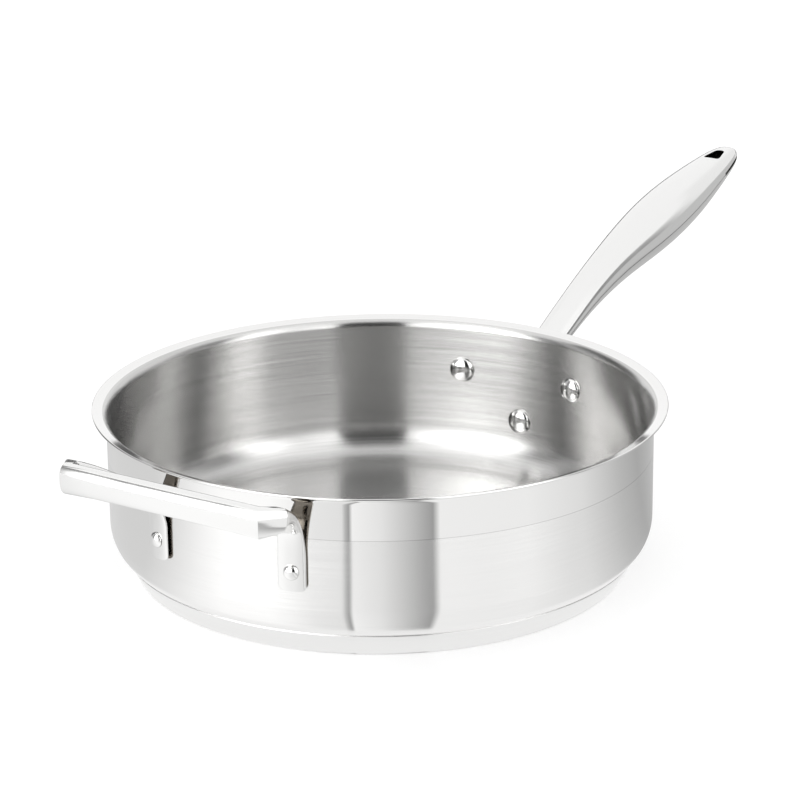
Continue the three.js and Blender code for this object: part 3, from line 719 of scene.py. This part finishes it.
rivet_steel = polished_steel("polished_rivet_steel", BRIGHT_STEEL, *RIVET_GLOSS)
grip_rivet = make_rivet("grip_rivet", GRIP_HEAD, GRIP_TAIL, PLATE_OUTER_RADIUS)
grip_rivet.data.materials.append(rivet_steel)
set_rivet(grip_rivet, "handle_rivet_left", UPPER_RIVET_BEARING, UPPER_LOBE, "long_handle_rivet_left")
set_rivet(grip_rivet, "handle_rivet_right", -UPPER_RIVET_BEARING, UPPER_LOBE, "long_handle_rivet_right")
set_rivet(grip_rivet, "handle_rivet_bottom", 0, LOWER_LOBE, "long_handle_rivet_bottom")
bpy.data.objects.remove(grip_rivet)
lug_rivet = make_rivet("lug_rivet", HELPER_HEAD, HELPER_TAIL, LUG_SEAT)
lug_rivet.data.materials.append(rivet_steel)
set_rivet(lug_rivet, "lug_rivet_left", 180 + LUG_RIVET_BEARING, LUG_RIVET_HEIGHT, "helper_rivet_left")
set_rivet(lug_rivet, "lug_rivet_right", 180 - LUG_RIVET_BEARING, LUG_RIVET_HEIGHT, "helper_rivet_right")
bpy.data.objects.remove(lug_rivet)


# Helper handle: a flattened steel tube, bent sharply at both ends and pressed flat into straps.
# The straps run back and down to lugs that lie on the wall, one rivet in each. It is polished, but the
# straps' inner faces, in the gap against the wall, are painted dark brown as shade.
BAR_REACH = -0.1835
BAR_HALF = 0.0555
BAR_ROWS = (0, 0.02, 0.04)
BAR_LEVEL = 0.0914
BAR_DEPTH = 0.0098
BAR_HEIGHT = 0.0145
ELBOW_FACET = 0.009
ELBOW_TURN = 115
ELBOW_HEIGHT = 0.0115
ELBOW_DIP = 24
ELBOW_ROWS = (len(BAR_ROWS), len(BAR_ROWS) + 1)
ELBOW_PRESS = 0.55
TUBE_CORNER = 0.42
TUBE_CORNER_STEPS = 8
STRAP_STEPS = 16
STRAP_HEADING = 90 - ELBOW_TURN
LUG_PLACE = Vector((-0.137, 0.04, 0.056))
LUG_WIDTH = 0.0142
LUG_THICKNESS = 0.0028
LUG_HEADING = -16.3
LUG_FOOT = 0.0382
LUG_CORNER = 0.0028
LUG_CORNER_TURNS = (0, 30, 60, 80)
EDGE_ROUND = 0.0008
EDGE_ROUND_STEPS = 3
EDGE_ANGLE = math.radians(40)
CREASE_ANGLE = math.radians(32)
HELPER_GLOSS = (0.11, 0.16)
# Dark brown painted shade for the straps' inner faces, in the gap against the wall.
STRAP_GAP_SHADE = (0.2, 0.18, 0.155, 1)
STRAP_SHADE_BELOW = 0.0875
STRAP_SHADE_FACING = (-0.25, -0.6)

facet_turn = math.radians(ELBOW_TURN / 2)
crease = Vector((BAR_REACH, BAR_HALF, BAR_LEVEL))
elbow = crease + ELBOW_FACET * Vector((math.sin(facet_turn), math.cos(facet_turn), 0))
mitred = BAR_DEPTH / math.cos(facet_turn / 2)
helper_sections = [
    *[(Vector((BAR_REACH, across, BAR_LEVEL)), BAR_DEPTH, BAR_HEIGHT, 90, 0) for across in BAR_ROWS],
    (crease, mitred, BAR_HEIGHT, 90 - ELBOW_TURN / 4, 0),
    (elbow, mitred, ELBOW_HEIGHT, 90 - 3 * ELBOW_TURN / 4, ELBOW_DIP / 2),
]
first_left = 1 - math.sin(math.radians(ELBOW_DIP))
strap_rise = (elbow.z - LUG_PLACE.z) / math.cos(math.radians(ELBOW_DIP))
for step in range(1, STRAP_STEPS + 1):
    share = step / STRAP_STEPS
    dip = ELBOW_DIP + (90 - ELBOW_DIP) * share
    left = (1 - math.sin(math.radians(dip))) / first_left
    place = LUG_PLACE.lerp(elbow, left)
    place.z = LUG_PLACE.z + strap_rise * math.cos(math.radians(dip))
    width = BAR_DEPTH + (LUG_WIDTH - BAR_DEPTH) * share
    thick = LUG_THICKNESS + (ELBOW_HEIGHT - LUG_THICKNESS) * (1 - share) ** 3
    heading = STRAP_HEADING + (LUG_HEADING - STRAP_HEADING) * share
    helper_sections.append((place, width, thick, heading, dip))
for turn in LUG_CORNER_TURNS:
    width = LUG_WIDTH - 2 * LUG_CORNER * (1 - math.cos(math.radians(turn)))
    drop = LUG_CORNER * (1 - math.sin(math.radians(turn)))
    place = Vector((LUG_PLACE.x, LUG_PLACE.y, LUG_FOOT + drop))
    helper_sections.append((place, width, LUG_THICKNESS, LUG_HEADING, 90))
helper = form_bar(
    "helper_bar", helper_sections, TUBE_CORNER, TUBE_CORNER_STEPS, pressed=ELBOW_ROWS, press_share=ELBOW_PRESS
)
pick(helper, lambda co: abs(co.y) < SAME_PLACE)
bpy.ops.mesh.delete(type="ONLY_FACE")
bpy.ops.object.mode_set(mode="OBJECT")
add_modifier(
    helper, "MIRROR", use_axis=(False, True, False), use_mirror_merge=True, merge_threshold=SAME_PLACE
)
bpy.ops.object.mode_set(mode="EDIT")
bpy.ops.mesh.select_all(action="SELECT")
bpy.ops.mesh.normals_make_consistent(inside=False)
bpy.ops.object.mode_set(mode="OBJECT")
add_modifier(
    helper, "BEVEL", width=EDGE_ROUND, segments=EDGE_ROUND_STEPS, limit_method="ANGLE", angle_limit=EDGE_ANGLE
)
bpy.ops.object.shade_smooth_by_angle(angle=CREASE_ANGLE)
helper_steel = polished_steel("polished_helper_steel", BRIGHT_STEEL, *HELPER_GLOSS)
tree = helper_steel.node_tree
shader = tree.nodes["Principled BSDF"]
# Painted shade: strap faces turned toward the pan's axis, below the bar, go dark brown.
place = wire(tree, "ShaderNodeTexCoord")
level = wire(tree, "ShaderNodeVectorMath", "MULTIPLY", A=place.outputs["Object"], B=(1, 1, 0))
bearing = wire(tree, "ShaderNodeVectorMath", "NORMALIZE", A=level.outputs[0])
outward = wire(tree, "ShaderNodeVectorMath", "DOT_PRODUCT", A=place.outputs["Normal"], B=bearing.outputs[0])
inner = follow(tree, outward.outputs["Value"], STRAP_SHADE_FACING, 0, 1)
height = wire(tree, "ShaderNodeSeparateXYZ", A=place.outputs["Object"]).outputs["Z"]
below = wire(tree, "ShaderNodeMath", "LESS_THAN", A=height, B=STRAP_SHADE_BELOW)
shade_on_strap = wire(tree, "ShaderNodeMath", "MULTIPLY", A=inner, B=below.outputs[0])
steel_with_painted_shade = mix(tree, shade_on_strap.outputs[0], BRIGHT_STEEL, STRAP_GAP_SHADE, colour=True)
tree.links.new(steel_with_painted_shade, shader.inputs["Base Color"])
helper.data.materials.append(helper_steel)
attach(helper, "root")
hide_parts("helper_handle")


# Studio: a pale floor in a white room, with a tent of glowing cloth round the pan, two mats on the floor and
# a card to its right and one behind it. The tent is dark toward the camera and dull in stretches on both
# sides. Only the steel sees the cloths and the cards.
VIEW_RIGHT = Vector((0.55048, -0.83485, 0)).normalized()
TOWARD_CAMERA = Vector((-0.83485, -0.55048, 0)).normalized()
ROOM_WHITE = (1, 1, 1, 1)
FLOOR_SIZE = 14
FLOOR_WHITE = (0.52, 0.52, 0.52, 1)
FLOOR_ROUGHNESS = 0.9
FLOOR_GLOW = 0.53
CLOTH_FULL = 6.0
CLOTH_SIDES = 96
TENT_RADIUS = 2.0
TENT_HEIGHT = 2.2
# Each stop of a glow: the bearing, 0 toward the camera and 90 to its right, and how bright the cloth is
TOP_GLOW = [
    (-180, 1.1),
    (-110, 1.15),
    (-50, 1.5),
    (-22, 1.3),
    (-13, 0.1),
    (20, 0.1),
    (30, 1.3),
    (60, 1.4),
    (110, 1.1),
    (180, 1.1),
]
SIDE_CARD_PLACE = (0.62, -0.32)
SIDE_CARD_WIDTH = 0.9
SIDE_CARD_HEIGHT = 0.27
SIDE_CARD_GLOW = 0.62
TENT_GLOW = [
    (-180, 1.1),
    (-150, 1.1),
    (-140, 0.1),
    (-122, 0.08),
    (-112, 0.45),
    (-98, 0.65),
    (-88, 0.2),
    (-78, 0.5),
    (-68, 3.3),
    (-50, 5.6),
    (-35, 3.9),
    (-13, 1.6),
    (-11.5, 0.02),
    (19.5, 0.02),
    (21, 2.0),
    (30, 1.75),
    (42, 1.45),
    (60, 2.7),
    (70, 1.7),
    (80, 0.15),
    (100, 0.4),
    (110, 0.8),
    (118, 1.0),
    (156, 1.0),
    (166, 1.1),
    (180, 1.1),
]
BACK_CARD_PLACE = (0.1, -1.25)
BACK_CARD_WIDTH = 1.5
BACK_CARD_HEIGHT = 0.22
BACK_CARD_GLOW = 0.1
CROWN_RADIUS = 0.7
CROWN_DROP = 0.01
CROWN_GLOW = 1.2
MAT_RADIUS = 1.3
MAT_HEIGHT = 0.0008
MAT_FOCUS = 0.0705
MAT_GLOW = [
    (-180, 0.55),
    (-160, 0.6),
    (-130, 0.76),
    (-98, 0.78),
    (-87, 0.92),
    (-75, 1.1),
    (-64, 1.2),
    (-46, 1.2),
    (-38, 1.12),
    (-27, 0.97),
    (-16, 0.92),
    (-14.3, 0.88),
    (-13.9, 0.36),
    (-12.5, 0.4),
    (-11.6, 1.08),
    (0, 0.95),
    (11, 0.68),
    (22.2, 0.37),
    (22.8, 1.04),
    (60, 1.02),
    (85, 0.87),
    (106, 0.58),
    (120, 0.46),
    (140, 0.58),
    (156, 0.6),
    (166, 0.5),
    (180, 0.55),
]
BASE_MAT_RADIUS = 0.1385
BASE_MAT_HEIGHT = 0.0012
BASE_MAT_GLOW = 1.05

bpy.ops.object.select_all(action="DESELECT")
bpy.ops.mesh.primitive_plane_add(size=FLOOR_SIZE)
floor = new_piece("studio_floor")
floor_paint, tree, shader = new_material("pale_floor", FLOOR_WHITE, metallic=0.0)
shader.inputs["Roughness"].default_value = FLOOR_ROUGHNESS
shader.inputs["Emission Color"].default_value = ROOM_WHITE
shader.inputs["Emission Strength"].default_value = FLOOR_GLOW
floor.data.materials.append(floor_paint)

world = bpy.data.worlds.new("white_room")
world.use_nodes = True
bpy.context.scene.world = world
world.node_tree.nodes["Background"].inputs["Color"].default_value = ROOM_WHITE
world.node_tree.nodes["Background"].inputs["Strength"].default_value = 1.0


def cloth_by_bearing(name, stops, focus=0.0):
    """A glowing material that changes with the bearing from a point that far before the pan's axis."""
    material = bpy.data.materials.new(name)
    material.use_nodes = True
    tree = material.node_tree
    tree.nodes.clear()
    ramp = tree.nodes.new("ShaderNodeValToRGB")
    for _ in stops[2:]:
        ramp.color_ramp.elements.new(0.5)
    for element, (bearing, glow) in zip(ramp.color_ramp.elements, stops):
        element.position = bearing / 360 + 0.5
        element.color = (glow / CLOTH_FULL,) * 3 + (1,)
    light = wire(tree, "ShaderNodeEmission", Color=ramp.outputs["Color"], Strength=CLOTH_FULL)
    out = tree.nodes.new("ShaderNodeOutputMaterial")
    tree.links.new(light.outputs[0], out.inputs["Surface"])
    place = wire(tree, "ShaderNodeTexCoord").outputs["Object"]
    forward = wire(tree, "ShaderNodeVectorMath", "DOT_PRODUCT", A=place, B=TOWARD_CAMERA)
    forward = wire(tree, "ShaderNodeMath", "SUBTRACT", A=forward.outputs["Value"], B=focus)
    right = wire(tree, "ShaderNodeVectorMath", "DOT_PRODUCT", A=place, B=VIEW_RIGHT)
    bearing = wire(tree, "ShaderNodeMath", "ARCTAN2", A=right.outputs["Value"], B=forward.outputs[0])
    share = wire(tree, "ShaderNodeMath", "MULTIPLY_ADD", A=bearing.outputs[0], B=0.5 / math.pi, C=0.5)
    tree.links.new(share.outputs[0], ramp.inputs["Fac"])
    return material


def hang(cloth, material):
    """Puts a cloth up so that the steel sees it, and the camera and the floor don't."""
    cloth.data.materials.append(material)
    cloth.visible_camera = False
    cloth.visible_diffuse = False
    cloth.visible_shadow = False


def even(glow):
    """A glow that is the same on every bearing."""
    return [(-180, glow), (180, glow)]


def lay_cloth(name, radius, height, stops, focus=0.0):
    """Spreads a round cloth level at that height, centred on the pan's axis."""
    bpy.ops.object.select_all(action="DESELECT")
    bpy.ops.mesh.primitive_circle_add(
        vertices=CLOTH_SIDES, radius=radius, fill_type="NGON", location=(0, 0, height)
    )
    hang(new_piece(name), cloth_by_bearing(f"{name}_cloth", stops, focus))


def stand_card(name, place, width, height, glow, facing):
    """Stands a glowing card over the floor, right of the pan's axis and toward the camera by its place."""
    bpy.ops.object.select_all(action="DESELECT")
    bpy.ops.mesh.primitive_plane_add(size=1)
    card = bpy.context.object
    card.scale = (width, height, 1)
    card.rotation_euler = facing.to_track_quat("Z", "Y").to_euler()
    across, near = place
    card.location = VIEW_RIGHT * across + TOWARD_CAMERA * near + Vector((0, 0, height / 2))
    hang(new_piece(name), cloth_by_bearing(f"{name}_cloth", even(glow)))


bpy.ops.object.select_all(action="DESELECT")
bpy.ops.mesh.primitive_cylinder_add(
    vertices=CLOTH_SIDES,
    radius=TENT_RADIUS,
    depth=TENT_HEIGHT,
    end_fill_type="NOTHING",
    location=(0, 0, TENT_HEIGHT / 2),
)
hang(new_piece("tent_wall"), cloth_by_bearing("tent_wall_cloth", TENT_GLOW))
lay_cloth("tent_mat", MAT_RADIUS, MAT_HEIGHT, MAT_GLOW, MAT_FOCUS)
lay_cloth("base_mat", BASE_MAT_RADIUS, BASE_MAT_HEIGHT, even(BASE_MAT_GLOW))
lay_cloth("tent_top", TENT_RADIUS, TENT_HEIGHT, TOP_GLOW)
lay_cloth("tent_crown", CROWN_RADIUS, TENT_HEIGHT - CROWN_DROP, even(CROWN_GLOW))
stand_card("side_card", SIDE_CARD_PLACE, SIDE_CARD_WIDTH, SIDE_CARD_HEIGHT, SIDE_CARD_GLOW, VIEW_RIGHT)
stand_card("back_card", BACK_CARD_PLACE, BACK_CARD_WIDTH, BACK_CARD_HEIGHT, BACK_CARD_GLOW, TOWARD_CAMERA)


# Camera: a long lens at the photograph's height, distance and bearing, tipped sideways by a hair as it was.
# Its place, lens and roll were fitted to the pan's rim, wall and base.
VIEW_FROM = Vector((-1.2301, -0.8234, 0.5906))
VIEW_ALONG = Vector((0.7904, 0.5212, -0.3218)).normalized()
VIEW_ROLL = -0.00962
SENSOR_WIDTH = 36
LENS_LENGTH = 136.44
VIEW_DEPTH = 50

camera_data = bpy.data.cameras.new("camera")
camera_data.sensor_width = SENSOR_WIDTH
camera_data.lens = LENS_LENGTH
camera_data.clip_end = VIEW_DEPTH
camera = bpy.data.objects.new("camera", camera_data)
bpy.context.scene.collection.objects.link(camera)
view_up = VIEW_RIGHT.cross(VIEW_ALONG)
right = VIEW_RIGHT * math.cos(VIEW_ROLL) + view_up * math.sin(VIEW_ROLL)
up = view_up * math.cos(VIEW_ROLL) - VIEW_RIGHT * math.sin(VIEW_ROLL)
camera.matrix_world = Matrix((
    (right.x, up.x, -VIEW_ALONG.x, VIEW_FROM.x),
    (right.y, up.y, -VIEW_ALONG.y, VIEW_FROM.y),
    (right.z, up.z, -VIEW_ALONG.z, VIEW_FROM.z),
    (0, 0, 0, 1),
))
bpy.context.scene.camera = camera
bpy.context.scene.view_settings.view_transform = "Standard"
